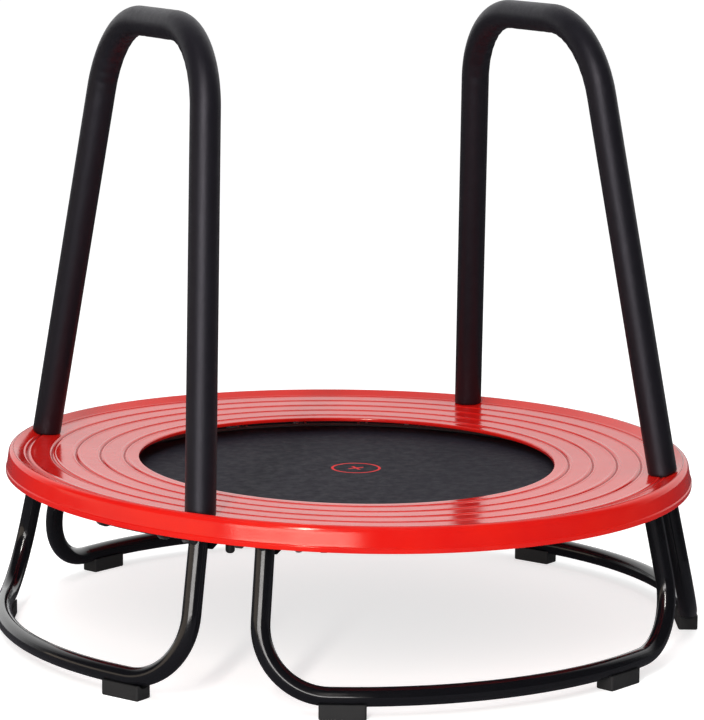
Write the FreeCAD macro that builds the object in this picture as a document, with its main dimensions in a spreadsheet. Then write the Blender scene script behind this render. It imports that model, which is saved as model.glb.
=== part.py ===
# Toddler trampoline: a round frame on four bent-tube legs, a moulded ring cover, a sprung mat
# and two foam-covered hoop handles.  Millimetres, +Z up, origin on the floor under the centre.
# The handles stand over +X and -X, the legs face -Y, +X, +Y and -X in that order.
import FreeCAD, Part
import math
import os
import Sketcher

from FreeCAD import Placement, Rotation, Vector

os.makedirs("parts", exist_ok=True)
doc = FreeCAD.newDocument("trampoline")
UP = Vector(0, 0, 1)
QUARTERS = ("front", "right", "back", "left")
HANDLE_SIDES = {"right": 90, "left": 270}
# degrees of each leg's two feet from the leg's middle
FOOT_ANGLES = {"front": (-26.5, 21.8), "right": (-26.5, 26.5), "back": (-26.5, 23.6), "left": (-26.5, 28.0)}

# ---------------------------------------------------------------- driving dimensions

sheet = doc.addObject("Spreadsheet::Sheet", "Dims")
DIMENSIONS = {
    # moulded cover
    "skirt_radius": 457,
    "skirt_bottom": 203,
    "rim_outer": 452,
    "rim_inner": 444.5,
    "rim_height": 234.6,
    "panel_outer": 430,
    "panel_height": 228.6,
    "hole_radius": 277.5,
    "lip_height": 225,
    "lip_bottom": 220.2,
    "cover_wall": 3,
    "bead_height": 6,
    "bead_out": 1.2,
    "rim_round": 7.5,
    "rim_foot_round": 4,
    "lip_round": 1.8,
    "ridge_first": 425,
    "ridge_pitch": 32,
    "ridge_width": 4.4,
    "ridge_depth": 1.5,
    "post_radius": 6.5,
    "post_pilot": 1.7,
    "post_gap": 0.3,
    "pilot_depth": 8.5,
    "handle_hole_gap": 2,
    # steel tube frame
    "ring_radius": 401,
    "ring_height": 204,
    "tube_radius": 12,
    "tube_wall": 1.2,
    "sleeve_wall": 1.5,
    "sleeve_angle": 10,
    "butt_gap": 0.1,
    # legs
    "bar_radius": 460,
    "bar_height": 26,
    "bar_half_angle": 28.5,
    "bend_reach": 88,
    "upright_top": 213,
    "upright_angle": 39.26,
    # feet
    "foot_length": 58,
    "foot_width": 26,
    "foot_height": 19,
    "foot_round": 3,
    "foot_chamfer": 1.2,
    "channel_gap": 0.05,
    "recess_radius": 5,
    "recess_depth": 5,
    "shank_hole": 2.2,
    # handles
    "handle_height": 221,
    "handle_side": 269.4,
    "handle_out": 329.7,
    "handle_rise": 589,
    "handle_top_side": 153.6,
    "handle_lean": 58,
    "handle_bend": 118,
    "handle_radius": 10.5,
    "spigot_depth": 46,
    "foam_radius": 19.2,
    "foam_gap": 0.1,
    "seat_gap": 0.4,
    "foam_start": 5,
    # mat and its suspension
    "mat_radius": 326,
    "mat_height": 207,
    "mat_thick": 1.4,
    "hem_inner": 317,
    "hem_outer": 333,
    "hem_thick": 4,
    "strap_count": 24,
    "strap_width": 8,
    "strap_thick": 3,
    "link_length": 14,
    "link_wire": 1.4,
    "link_sewn": 5,
    "link_reach": 10,
    "link_corner": 3,
    "link_gap": 0.4,
    "strap_gap": 0.15,
    "hem_gap": 0.1,
    "bolt_gap": 0.2,
    "knee_bend": 55,
    "grip_cut": 60,
    # fasteners
    "bolt_radius": 3,
    "head_radius": 5.8,
    "head_height": 4,
    "cap_radius": 5.8,
    "cap_height": 10,
    "plate_thick": 3,
    "cover_screw_angle": 34.4,
    "joint_bolt_angle": 46.8,
}
for row, (alias, number) in enumerate(DIMENSIONS.items(), start=1):
    sheet.set("A%d" % row, alias)
    sheet.set("B%d" % row, str(number))
    sheet.setAlias("B%d" % row, alias)
doc.recompute()


def value(formula):
    """Number that a spreadsheet formula gives."""
    result = sheet.evalExpression(formula)
    return float(getattr(result, "Value", result))


def dim(alias):
    """Number in one spreadsheet cell."""
    return float(sheet.get(alias))


def bolt_drill(point, along):
    """Cylinder that drills a frame bolt's hole right through a tube at a point."""
    reach = 30
    return Part.makeCylinder(dim("bolt_radius") + dim("bolt_gap"), 2 * reach, point - along * reach, along)


# ---------------------------------------------------------------- sketch helpers

def new_body(label):
    body = doc.addObject("PartDesign::Body", label)
    body.Label = label
    return body


def new_sketch(body, role, name):
    """Sketch on one of the body's own origin planes."""
    plane = next(item for item in body.Origin.OriginFeatures if item.Role == role)
    sketch = body.newObject("Sketcher::SketchObject", name)
    sketch.AttachmentSupport = [(plane, "")]
    sketch.MapMode = "FlatFace"
    return sketch


def bind(sketch, constraint, formula):
    index = sketch.addConstraint(constraint)
    sketch.setExpression("Constraints[%d]" % index, formula)


def bind_point(sketch, geometry, end, x_formula, y_formula):
    """Hold one point of a sketch at two formulas, measured from the sketch's origin."""
    for kind, formula in (("DistanceX", x_formula), ("DistanceY", y_formula)):
        bind(sketch, Sketcher.Constraint(kind, -1, 1, geometry, end, value(formula)), formula)


def add_polygon(sketch, corners):
    """Closed outline of straight lines through corners, each a pair of formulas."""
    points = [Vector(value(x), value(y), 0) for x, y in corners]
    first = sketch.GeometryCount
    count = len(points)
    for index in range(count):
        sketch.addGeometry(Part.LineSegment(points[index], points[(index + 1) % count]))
    for index in range(count):
        following = first + (index + 1) % count
        sketch.addConstraint(Sketcher.Constraint("Coincident", first + index, 2, following, 1))
        bind_point(sketch, first + index, 1, *corners[index])


def add_circle(sketch, x_formula, y_formula, radius_formula):
    centre = Vector(value(x_formula), value(y_formula), 0)
    index = sketch.addGeometry(Part.Circle(centre, UP, value(radius_formula)))
    bind_point(sketch, index, 3, x_formula, y_formula)
    bind(sketch, Sketcher.Constraint("Radius", index, value(radius_formula)), radius_formula)


def revolve(body, sketch, feature_type, degrees_formula, symmetric=False):
    """Turn a sketch about the body's Z axis, adding or cutting."""
    feature = body.newObject(feature_type, sketch.Name + "_turn")
    feature.Profile = sketch
    axis = next(item for item in body.Origin.OriginFeatures if item.Role == "Z_Axis")
    feature.ReferenceAxis = (axis, [""])
    feature.setExpression("Angle", degrees_formula)
    feature.Midplane = symmetric
    sketch.Visibility = False
    return feature


def pad(body, sketch, length_formula):
    feature = body.newObject("PartDesign::Pad", sketch.Name + "_pad")
    feature.Profile = sketch
    feature.setExpression("Length", length_formula)
    return feature


def cut_through(body, sketch):
    """Pocket a sketch right through the body on both sides of its plane."""
    feature = body.newObject("PartDesign::Pocket", sketch.Name + "_cut")
    feature.Profile = sketch
    feature.Type = "ThroughAll"
    feature.Midplane = True
    return feature


def circular_edges(shape, radius, height):
    """Names of the circular edges about the Z axis at a radius and a height."""
    names = []
    for index, edge in enumerate(shape.Edges, start=1):
        is_circle = isinstance(edge.Curve, Part.Circle)
        if is_circle and abs(edge.Curve.Radius - radius) < 0.05 and abs(edge.Curve.Center.z - height) < 0.05:
            names.append("Edge%d" % index)
    return names


def round_edges(body, base, names, radius_formula):
    feature = body.newObject("PartDesign::Fillet", base.Name + "_round")
    feature.Base = (base, names)
    feature.setExpression("Radius", radius_formula)
    doc.recompute()
    return feature


def cut_removed(before, feature, what):
    """Stop when a cut that should remove material removed none."""
    doc.recompute()
    if not feature.Shape.Volume < before - 1e-3:
        raise ValueError("cut removes nothing: " + what)


# ---------------------------------------------------------------- solid helpers

def polar(radius, degrees, height):
    """Point at an angle from the -Y direction, positive towards +X."""
    angle = math.radians(degrees)
    return Vector(radius * math.sin(angle), -radius * math.cos(angle), height)


def turned(shape, degrees):
    copy = shape.copy()
    copy.rotate(Vector(0, 0, 0), UP, degrees)
    return copy


def bent_path(points, radii):
    """Wire of straight runs through points, with a tangent arc of a given radius at each bend."""
    edges = []
    start = points[0]
    for index in range(1, len(points) - 1):
        corner = points[index]
        back = (points[index - 1] - corner).normalize()
        ahead = (points[index + 1] - corner).normalize()
        half = back.getAngle(ahead) / 2
        reach = radii[index - 1] / math.tan(half)
        middle = corner + (back + ahead).normalize() * (radii[index - 1] / math.sin(half) - radii[index - 1])
        enter = corner + back * reach
        leave = corner + ahead * reach
        edges.append(Part.LineSegment(start, enter).toShape())
        edges.append(Part.Arc(enter, middle, leave).toShape())
        start = leave
    edges.append(Part.LineSegment(start, points[-1]).toShape())
    return edges


def swept_rod(edges, radius):
    """Round bar of one radius along a chain of tangent edges."""
    wire = Part.Wire(edges)
    first = edges[0]
    start = first.valueAt(first.FirstParameter)
    direction = first.tangentAt(first.FirstParameter)
    section = Part.Wire(Part.Circle(start, direction, radius).toShape())
    return wire.makePipeShell([section], True, True)


def swept_tube(edges, radius, wall):
    return swept_rod(edges, radius).cut(swept_rod(edges, radius - wall))


def feature(label, shape, placement=None):
    """Sub-part whose shape is made in code from the sheet's sizes."""
    item = doc.addObject("Part::Feature", label)
    item.Label = label
    item.Shape = shape
    item.Placement = placement or Placement()
    return item


def dome(radius, height):
    """Short post with a rounded end, standing on the XY plane and pointing along +Z."""
    post = Part.makeCylinder(radius, height)
    rim = [edge for edge in post.Edges if edge.BoundBox.ZMin > height - 0.01]
    return post.makeFillet(0.7 * min(radius, height), rim)


def aimed(shape, position, direction):
    """Copy of a shape built along +Z, moved so that it starts at position along direction."""
    copy = shape.copy()
    copy.Placement = Placement(position, Rotation(UP, direction))
    return copy


# ---------------------------------------------------------------- moulded ring cover

def top_height(radius_formula):
    """Formula for the panels' top surface, a shallow cone from the opening out to the rim's foot."""
    slope = "(Dims.panel_height - Dims.lip_height) / (Dims.panel_outer - Dims.hole_radius)"
    return "Dims.lip_height + (%s - Dims.hole_radius) * %s" % (radius_formula, slope)


def cover_corners():
    """Corners of the cover's section: up the skirt, over the raised rim and panels, and back underneath."""
    wall = "Dims.cover_wall"
    bead_top = "Dims.skirt_bottom + Dims.bead_height"
    return [
        ("Dims.skirt_radius", "Dims.skirt_bottom"),
        ("Dims.skirt_radius", bead_top),
        ("Dims.skirt_radius - Dims.bead_out", bead_top + " + Dims.bead_out"),
        ("Dims.rim_outer", "Dims.rim_height"),
        ("Dims.rim_inner", "Dims.rim_height"),
        ("Dims.panel_outer", "Dims.panel_height"),
        ("Dims.hole_radius", "Dims.lip_height"),
        ("Dims.hole_radius", "Dims.lip_bottom"),
        ("Dims.hole_radius + " + wall, "Dims.lip_bottom"),
        ("Dims.hole_radius + " + wall, "Dims.lip_height - " + wall),
        ("Dims.panel_outer", "Dims.panel_height - " + wall),
        ("Dims.rim_inner + " + wall + " / 2", "Dims.rim_height - " + wall),
        ("Dims.rim_outer - " + wall, "Dims.rim_height - " + wall),
        ("Dims.skirt_radius - Dims.bead_out - " + wall, bead_top),
        ("Dims.skirt_radius - " + wall, "Dims.skirt_bottom"),
    ]


COVER_ROUNDS = (
    ("rim_outer", "rim_height", "rim_round"),
    ("panel_outer", "panel_height", "rim_foot_round"),
    ("hole_radius", "lip_height", "lip_round"),
)


def make_cover():
    body = new_body("cover_ring")
    section = new_sketch(body, "XZ_Plane", "cover_section")
    add_polygon(section, cover_corners())
    shell = revolve(body, section, "PartDesign::Revolution", "360")
    doc.recompute()
    for radius, height, rounding in COVER_ROUNDS:
        edges = circular_edges(shell.Shape, dim(radius), dim(height))
        shell = round_edges(body, shell, edges, "Dims." + rounding)

    lines = new_sketch(body, "XZ_Plane", "cover_lines")
    for step in range(5):
        radius = "(Dims.ridge_first - %d * Dims.ridge_pitch)" % step
        outside = radius + " + Dims.ridge_width / 2"
        inside = radius + " - Dims.ridge_width / 2"
        floor_height = top_height(radius) + " - Dims.ridge_depth"
        add_polygon(lines, [
            (inside, top_height(radius) + " + 1"),
            (inside, top_height(radius) + " - 0.1"),
            (radius + " - Dims.ridge_width / 6", floor_height),
            (radius + " + Dims.ridge_width / 6", floor_height),
            (outside, top_height(radius) + " + 0.1"),
            (outside, top_height(radius) + " + 1"),
        ])
    before = shell.Shape.Volume
    grooves = revolve(body, lines, "PartDesign::Groove", "360")
    cut_removed(before, grooves, "cover lines")

    post_low = "Dims.ring_height + Dims.tube_radius + Dims.post_gap"
    posts = new_sketch(body, "XY_Plane", "cover_posts")
    posts.setExpression("AttachmentOffset.Base.z", post_low)
    screws = new_sketch(body, "XY_Plane", "cover_pilots")
    screws.setExpression("AttachmentOffset.Base.z", post_low)
    for x_formula, y_formula in paired_positions("Dims.ring_radius", "Dims.cover_screw_angle"):
        add_circle(posts, x_formula, y_formula, "Dims.post_radius")
        add_circle(screws, x_formula, y_formula, "Dims.post_pilot")
    post_top = top_height("Dims.ring_radius") + " - 0.5 * Dims.cover_wall"
    pad(body, posts, "%s - (%s)" % (post_top, post_low))
    doc.recompute()
    before = body.Shape.Volume
    pilots = body.newObject("PartDesign::Pocket", "cover_pilots_cut")
    pilots.Profile = screws
    pilots.Reversed = True
    pilots.setExpression("Length", "Dims.pilot_depth")
    cut_removed(before, pilots, "screw pilots")

    holes = new_sketch(body, "XY_Plane", "cover_handle_holes")
    for x_sign in ("", "-"):
        for y_sign in ("", "-"):
            add_circle(holes, x_sign + "(%s)" % handle_out_at_cover(), y_sign + "(%s)" % handle_side_at_cover(),
                       "Dims.handle_radius + Dims.handle_hole_gap")
    before = body.Shape.Volume
    cut_removed(before, cut_through(body, holes), "handle holes")
    return body


def paired_positions(radius_formula, angle_formula):
    """Eight places: an angle either side of -Y, +X, +Y and -X."""
    along = "%s * cos(%s * 1 deg)" % (radius_formula, angle_formula)
    across = "%s * sin(%s * 1 deg)" % (radius_formula, angle_formula)
    places = []
    for first in ("", "-"):
        for second in ("", "-"):
            places.append((first + along, second + across))
            places.append((first + across, second + along))
    return places


COVER_RISE = "(Dims.panel_height - Dims.handle_height)"
SLANT = "sqrt(Dims.handle_rise ^ 2 + Dims.handle_lean ^ 2)"


def handle_out_at_cover():
    return "Dims.handle_out - Dims.handle_lean / Dims.handle_rise * " + COVER_RISE


def handle_side_at_cover():
    return "Dims.handle_side - (Dims.handle_side - Dims.handle_top_side) / Dims.handle_rise * " + COVER_RISE


# ---------------------------------------------------------------- frame ring

def make_ring_quarters():
    """Four quarter rings that butt at the diagonals, each centred on one leg."""
    for index, side in enumerate(QUARTERS):
        body = new_body("frame_ring_" + side)
        section = new_sketch(body, "XZ_Plane", "ring_section_" + side)
        for radius in ("Dims.tube_radius", "Dims.tube_radius - Dims.tube_wall"):
            add_circle(section, "Dims.ring_radius", "Dims.ring_height", radius)
        revolve(body, section, "PartDesign::Revolution", "90 - Dims.butt_gap", symmetric=True)
        screws = new_sketch(body, "XY_Plane", "ring_screw_holes_" + side)
        along = "Dims.ring_radius * cos(%s * 1 deg)"
        across = "Dims.ring_radius * sin(%s * 1 deg)"
        for sign in ("", "-"):
            add_circle(screws, along % "Dims.cover_screw_angle", sign + across % "Dims.cover_screw_angle",
                       "Dims.bolt_radius - 0.8")
        bolt_angle = "(90 - Dims.joint_bolt_angle)"
        add_circle(screws, along % bolt_angle, across % bolt_angle, "Dims.bolt_radius + Dims.bolt_gap")
        doc.recompute()
        before = body.Shape.Volume
        cut_removed(before, cut_through(body, screws), "ring holes")
        cut_leg_bolt_holes(body, side)
        body.Placement = Placement(Vector(0, 0, 0), Rotation(UP, 90 * index - 90))


def cut_leg_bolt_holes(body, side):
    """Radial holes where the leg bolts cross the tube, either side of the quarter's middle."""
    for sign, end in ((1, "a"), (-1, "b")):
        sketch = new_sketch(body, "YZ_Plane", "ring_leg_hole_%s_%s" % (side, end))
        turn = Rotation(Vector(0, 1, 0), -sign * dim("upright_angle"))
        sketch.AttachmentOffset = Placement(Vector(0, 0, 0), turn)
        index = sketch.addGeometry(Part.Circle(Vector(0, dim("ring_height"), 0), UP, dim("bolt_radius") + dim("bolt_gap")))
        sketch.addConstraint(Sketcher.Constraint("PointOnObject", index, 3, -2))
        bind(sketch, Sketcher.Constraint("DistanceY", -1, 1, index, 3, dim("ring_height")), "Dims.ring_height")
        bind(sketch, Sketcher.Constraint("Radius", index, dim("bolt_radius") + dim("bolt_gap")), "Dims.bolt_radius + Dims.bolt_gap")
        doc.recompute()
        before = body.Shape.Volume
        pocket = body.newObject("PartDesign::Pocket", sketch.Name + "_cut")
        pocket.Profile = sketch
        pocket.Type = "ThroughAll"
        pocket.Reversed = True
        cut_removed(before, pocket, "leg bolt hole")


def make_ring_sleeves():
    """Short inner tubes that carry the butted ring ends, one at each diagonal."""
    for index, side in enumerate(QUARTERS):
        body = new_body("ring_sleeve_" + side)
        section = new_sketch(body, "XZ_Plane", "sleeve_section_" + side)
        outer = "Dims.tube_radius - Dims.tube_wall - 0.1"
        for radius in (outer, outer + " - Dims.sleeve_wall"):
            add_circle(section, "Dims.ring_radius", "Dims.ring_height", radius)
        revolve(body, section, "PartDesign::Revolution", "Dims.sleeve_angle", symmetric=True)
        bolt = new_sketch(body, "XY_Plane", "sleeve_bolt_" + side)
        angle = "((Dims.joint_bolt_angle - 45) * 1 deg)"
        add_circle(bolt, "Dims.ring_radius * cos(%s)" % angle, "-Dims.ring_radius * sin(%s)" % angle,
                   "Dims.bolt_radius + Dims.bolt_gap")
        doc.recompute()
        before = body.Shape.Volume
        cut_removed(before, cut_through(body, bolt), "sleeve bolt hole")
        body.Placement = Placement(Vector(0, 0, 0), Rotation(UP, 90 * index - 45))


# ---------------------------------------------------------------- legs

def leg_corners():
    """Top and lower corner of the right-hand upright of the leg that faces -Y."""
    knee = Vector(dim("handle_side"), -dim("handle_out"), dim("handle_height"))
    bar_end = polar(dim("bar_radius"), dim("bar_half_angle"), dim("bar_height"))
    along = polar(1, dim("bar_half_angle") + 90, 0)
    return knee, bar_end, bar_end + along * dim("bend_reach")


def upright_point(height):
    """Point on the right-hand upright's centre line at a height."""
    knee, _, corner = leg_corners()
    share = (knee.z - height) / (knee.z - corner.z)
    return knee + (corner - knee) * share


def mirrored(point):
    return Vector(-point.x, point.y, point.z)


def leg_path():
    knee, bar_end, corner = leg_corners()
    top = upright_point(dim("upright_top"))
    upward = (top - corner).normalize()
    inward = (bar_end - corner).normalize()
    half = upward.getAngle(inward) / 2
    radius = dim("bend_reach") * math.tan(half)
    middle = corner + (upward + inward).normalize() * (radius / math.sin(half) - radius)
    bend_start = corner + upward * dim("bend_reach")
    bar_middle = polar(dim("bar_radius"), 0, dim("bar_height"))
    return [
        Part.LineSegment(top, bend_start).toShape(),
        Part.Arc(bend_start, middle, bar_end).toShape(),
        Part.Arc(bar_end, bar_middle, mirrored(bar_end)).toShape(),
        Part.Arc(mirrored(bar_end), mirrored(middle), mirrored(bend_start)).toShape(),
        Part.LineSegment(mirrored(bend_start), mirrored(top)).toShape(),
    ]


def bolt_crossings():
    """Radial bolt lines of the leg that faces -Y: a start outside the leg and the inward direction."""
    places = []
    centre = upright_point(dim("ring_height"))
    for point in (centre, mirrored(centre)):
        inward = Vector(-point.x, -point.y, 0).normalize()
        places.append((point, inward))
    return places


def make_legs():
    edges = leg_path()
    tube = swept_tube(edges, dim("tube_radius"), dim("tube_wall"))
    for point, inward in bolt_crossings():
        tube = tube.cut(bolt_drill(point, inward))
    for index, side in enumerate(QUARTERS):
        feature("leg_" + side, tube, Placement(Vector(0, 0, 0), Rotation(UP, 90 * index)))


def make_leg_plates():
    """Welded plates between ring and uprights, wide at the top and tapered below."""
    plates = []
    for point, inward in bolt_crossings():
        radial = -inward
        side = UP.cross(radial)
        middle = radial * (dim("ring_radius") + dim("tube_radius") + 0.1)
        half_top = dim("tube_radius") + 9
        half_low = dim("tube_radius") - 1
        low = dim("ring_height") - dim("tube_radius") - 4
        high = dim("ring_height") + dim("tube_radius")
        corners = [
            middle - side * half_low + UP * low,
            middle + side * half_low + UP * low,
            middle + side * half_top + UP * (low + 11),
            middle + side * half_top + UP * high,
            middle - side * half_top + UP * high,
            middle - side * half_top + UP * (low + 11),
        ]
        face = Part.Face(Part.makePolygon(corners + corners[:1]))
        plate = face.extrude(radial * dim("plate_thick"))
        upright = Part.makeCylinder(dim("tube_radius") + 0.15, 120, upright_point(160) if point.x > 0
                                    else mirrored(upright_point(160)), upright_axis(point.x))
        hole = bolt_drill(point, inward)
        plates.append(plate.cut(upright).cut(hole))
    shapes = [turned(plate, 90 * index) for index in range(4) for plate in plates]
    feature("leg_plates", Part.makeCompound(shapes))


def upright_axis(side):
    axis = (upright_point(200) - upright_point(100)).normalize()
    return axis if side > 0 else mirrored(axis)


def make_feet():
    """Rubber blocks with a round channel that the bottom bar sits in."""
    for index, side in enumerate(QUARTERS):
        for end, angle in zip("ab", FOOT_ANGLES[side]):
            body = new_body("foot_%s_%s" % (side, end))
            outline = new_sketch(body, "XY_Plane", "foot_outline_%s_%s" % (side, end))
            near, far = "Dims.bar_radius - Dims.foot_width / 2", "Dims.bar_radius + Dims.foot_width / 2"
            half = "Dims.foot_length / 2"
            add_polygon(outline, [(near, "-" + half), (far, "-" + half), (far, half), (near, half)])
            block = pad(body, outline, "Dims.foot_height")
            doc.recompute()
            corners = ["Edge%d" % number for number, edge in enumerate(block.Shape.Edges, start=1)
                       if edge.BoundBox.ZLength > dim("foot_height") - 0.1]
            block = round_edges(body, block, corners, "Dims.foot_round")
            rim = ["Edge%d" % number for number, edge in enumerate(block.Shape.Edges, start=1)
                   if edge.BoundBox.ZMax < 0.01]
            edge_cut = body.newObject("PartDesign::Chamfer", "foot_chamfer")
            edge_cut.Base = (block, rim)
            edge_cut.setExpression("Size", "Dims.foot_chamfer")
            channel = new_sketch(body, "XZ_Plane", "foot_channel_%s_%s" % (side, end))
            add_circle(channel, "Dims.bar_radius", "Dims.bar_height", "Dims.tube_radius + Dims.channel_gap")
            doc.recompute()
            before = body.Shape.Volume
            groove = revolve(body, channel, "PartDesign::Groove", "40", symmetric=True)
            cut_removed(before, groove, "foot channel")
            add_screw_recess(body, side, end)
            body.Placement = Placement(Vector(0, 0, 0), Rotation(UP, 90 * index - 90 + angle))


def add_screw_recess(body, side, end):
    """Hole up through the foot for its screw, wider below for the head."""
    for role, radius, depth in (("recess", "Dims.recess_radius", "Dims.recess_depth"),
                                ("shank", "Dims.shank_hole", "Dims.foot_height")):
        sketch = new_sketch(body, "XY_Plane", "foot_%s_%s_%s" % (role, side, end))
        index = sketch.addGeometry(Part.Circle(Vector(dim("bar_radius"), 0, 0), UP, value(radius)))
        sketch.addConstraint(Sketcher.Constraint("PointOnObject", index, 3, -1))
        bind(sketch, Sketcher.Constraint("DistanceX", -1, 1, index, 3, dim("bar_radius")), "Dims.bar_radius")
        bind(sketch, Sketcher.Constraint("Radius", index, value(radius)), radius)
        doc.recompute()
        before = body.Shape.Volume
        pocket = body.newObject("PartDesign::Pocket", sketch.Name + "_cut")
        pocket.Profile = sketch
        pocket.Reversed = True
        pocket.setExpression("Length", depth)
        cut_removed(before, pocket, "foot screw hole")


def make_foot_screws():
    screws = []
    for index, side in enumerate(QUARTERS):
        for angle in FOOT_ANGLES[side]:
            place = polar(dim("bar_radius"), angle + 90 * index, 0)
            head = Part.makeCylinder(4.5, 2.4, place + UP * 2.5)
            shank = Part.makeCylinder(2, 9.2, place + UP * 4.7)
            screws.append(head.fuse(shank))
    feature("foot_screws", Part.makeCompound(screws))


def make_leg_plugs():
    """Plastic plugs in the open tops of the legs that carry no handle."""
    plugs = []
    for point in (upright_point(dim("upright_top")), mirrored(upright_point(dim("upright_top")))):
        axis = upright_axis(point.x)
        cap = Part.makeCylinder(dim("tube_radius"), 2.5, point, axis)
        stem = Part.makeCylinder(dim("tube_radius") - dim("tube_wall") - 0.1, 3, point - axis * 3, axis)
        plugs.append(cap.fuse(stem))
    feature("leg_plugs", Part.makeCompound([turned(plug, turn) for turn in (0, 180) for plug in plugs]))


# ---------------------------------------------------------------- handles

def make_handle_tubes():
    """Bent hoops whose lower ends follow the leg uprights and slide inside them."""
    knee = leg_corners()[0]
    rise = Vector(dim("handle_top_side") - dim("handle_side"), dim("handle_lean"), dim("handle_rise"))
    top = knee + rise
    end = knee - upright_axis(1) * dim("spigot_depth")
    points = [end, knee, top, mirrored(top), mirrored(knee), mirrored(end)]
    edges = bent_path(points, [dim("knee_bend"), dim("handle_bend"), dim("handle_bend"), dim("knee_bend")])
    tube = swept_tube(edges, dim("handle_radius"), dim("tube_wall"))
    for point, inward in bolt_crossings():
        tube = tube.cut(bolt_drill(point, inward))
    for side, turn in HANDLE_SIDES.items():
        feature("handle_tube_" + side, tube, Placement(Vector(0, 0, 0), Rotation(UP, turn)))


def make_cover_room():
    """Solid that fills the space under the cover's top surface, for cutting the grips' ends."""
    gap = dim("seat_gap")
    top = [(dim(radius) + gap, dim(height) + gap) for radius, height in (
        ("rim_outer", "rim_height"), ("rim_inner", "rim_height"), ("panel_outer", "panel_height"))]
    inner = dim("panel_outer") - 4 * dim("foam_radius")
    outline = [(inner, dim("skirt_bottom"))] + [(dim("skirt_radius") + gap, dim("skirt_bottom"))]
    outline += top + [(inner, value(top_height(str(inner))) + gap)]
    points = [Vector(radius, 0, height) for radius, height in outline]
    room = Part.Face(Part.makePolygon(points + points[:1])).revolve(Vector(0, 0, 0), UP, 360)
    return feature("cover_room", room)


def make_foam_grips():
    """Foam sleeves along the handle hoops, cut to the cover's raised rim and panel."""
    room = make_cover_room()
    lean_angle = math.degrees(math.atan2(dim("handle_lean"), dim("handle_rise")))
    taper = "atan((Dims.handle_side - Dims.handle_top_side) / %s)" % SLANT
    for side, turn in HANDLE_SIDES.items():
        body = new_body("grip_core_" + side)
        path = new_sketch(body, "XZ_Plane", "grip_path_" + side)
        add_hoop(path)
        section = new_sketch(body, "XY_Plane", "grip_section_" + side)
        section.setExpression("AttachmentOffset.Base.x", "Dims.handle_side")
        tilt = -value(taper)
        section.AttachmentOffset = Placement(Vector(dim("handle_side"), 0, 0), Rotation(Vector(0, 1, 0), tilt))
        for radius in ("Dims.foam_radius", "Dims.handle_radius + Dims.foam_gap"):
            index = section.addGeometry(Part.Circle(Vector(0, 0, 0), UP, value(radius)))
            section.addConstraint(Sketcher.Constraint("Coincident", index, 3, -1, 1))
            bind(section, Sketcher.Constraint("Radius", index, value(radius)), radius)
        doc.recompute()
        pipe = body.newObject("PartDesign::AdditivePipe", "grip_pipe_" + side)
        pipe.Profile = section
        pipe.Spine = (path, ["Edge%d" % number for number in range(1, 6)])
        pipe.Mode = "Frenet"
        doc.recompute()
        ends = new_sketch(body, "XZ_Plane", "grip_ends_" + side)
        for sign in ("", "-"):
            inner = sign + "(Dims.handle_side - Dims.grip_cut)"
            outer = sign + "(Dims.handle_side + Dims.grip_cut)"
            add_polygon(ends, [(inner, "-40"), (outer, "-40"), (outer, "Dims.foam_start"),
                               (inner, "Dims.foam_start")])
        before = body.Shape.Volume
        cut_removed(before, cut_through(body, ends), "grip ends")
        tilted = Rotation(UP, turn) * Rotation(Vector(1, 0, 0), -lean_angle)
        foot = Rotation(UP, turn).multVec(Vector(0, -dim("handle_out"), dim("handle_height")))
        body.Placement = Placement(foot, tilted)
        doc.recompute()
        grip = doc.addObject("Part::Cut", "foam_grip_" + side)
        grip.Label = "foam_grip_" + side
        grip.Base = body
        grip.Tool = room
        cut_removed(body.Shape.Volume, grip, "grip's seat on the cover")


def add_hoop(sketch):
    """Tapered hoop with two rounded corners, as five tangent edges."""
    side, top_side = dim("handle_side"), dim("handle_top_side")
    rise = value(SLANT)
    bend = dim("handle_bend")
    right, corner = Vector(side, 0, 0), Vector(top_side, rise, 0)
    downward = (right - corner).normalize()
    across = Vector(-1, 0, 0)
    half = downward.getAngle(across) / 2
    reach = bend / math.tan(half)
    middle = corner + (downward + across).normalize() * (bend / math.sin(half) - bend)
    low, high = corner + downward * reach, corner + across * reach
    sketch.addGeometry(Part.LineSegment(right, low))
    sketch.addGeometry(Part.Arc(low, middle, high))
    sketch.addGeometry(Part.LineSegment(high, mirrored(high)))
    sketch.addGeometry(Part.Arc(mirrored(high), mirrored(middle), mirrored(low)))
    sketch.addGeometry(Part.LineSegment(mirrored(low), mirrored(right)))
    bind_point(sketch, 0, 1, "Dims.handle_side", "0")
    bind_point(sketch, 4, 2, "-Dims.handle_side", "0")


# ---------------------------------------------------------------- mat and suspension

def make_mat():
    mat = doc.addObject("Part::Cylinder", "mat")
    mat.Label = "mat"
    mat.setExpression("Radius", "Dims.mat_radius")
    mat.setExpression("Height", "Dims.mat_thick")
    mat.Placement = Placement(Vector(0, 0, dim("mat_height")), Rotation())

    body = new_body("mat_hem")
    section = new_sketch(body, "XZ_Plane", "hem_section")
    low = "Dims.mat_height + Dims.mat_thick / 2 - Dims.hem_thick / 2"
    high = "Dims.mat_height + Dims.mat_thick / 2 + Dims.hem_thick / 2"
    mat_low, mat_high = "Dims.mat_height - 0.02", "Dims.mat_height + Dims.mat_thick + 0.02"
    add_polygon(section, [
        ("Dims.hem_inner", low),
        ("Dims.hem_outer", low),
        ("Dims.hem_outer", high),
        ("Dims.hem_inner", high),
        ("Dims.hem_inner", mat_high),
        ("Dims.mat_radius + Dims.hem_gap", mat_high),
        ("Dims.mat_radius + Dims.hem_gap", mat_low),
        ("Dims.hem_inner", mat_low),
    ])
    revolve(body, section, "PartDesign::Revolution", "360")


def strap_angles():
    step = 360 / dim("strap_count")
    return [step * index for index in range(int(dim("strap_count")))]


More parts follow.
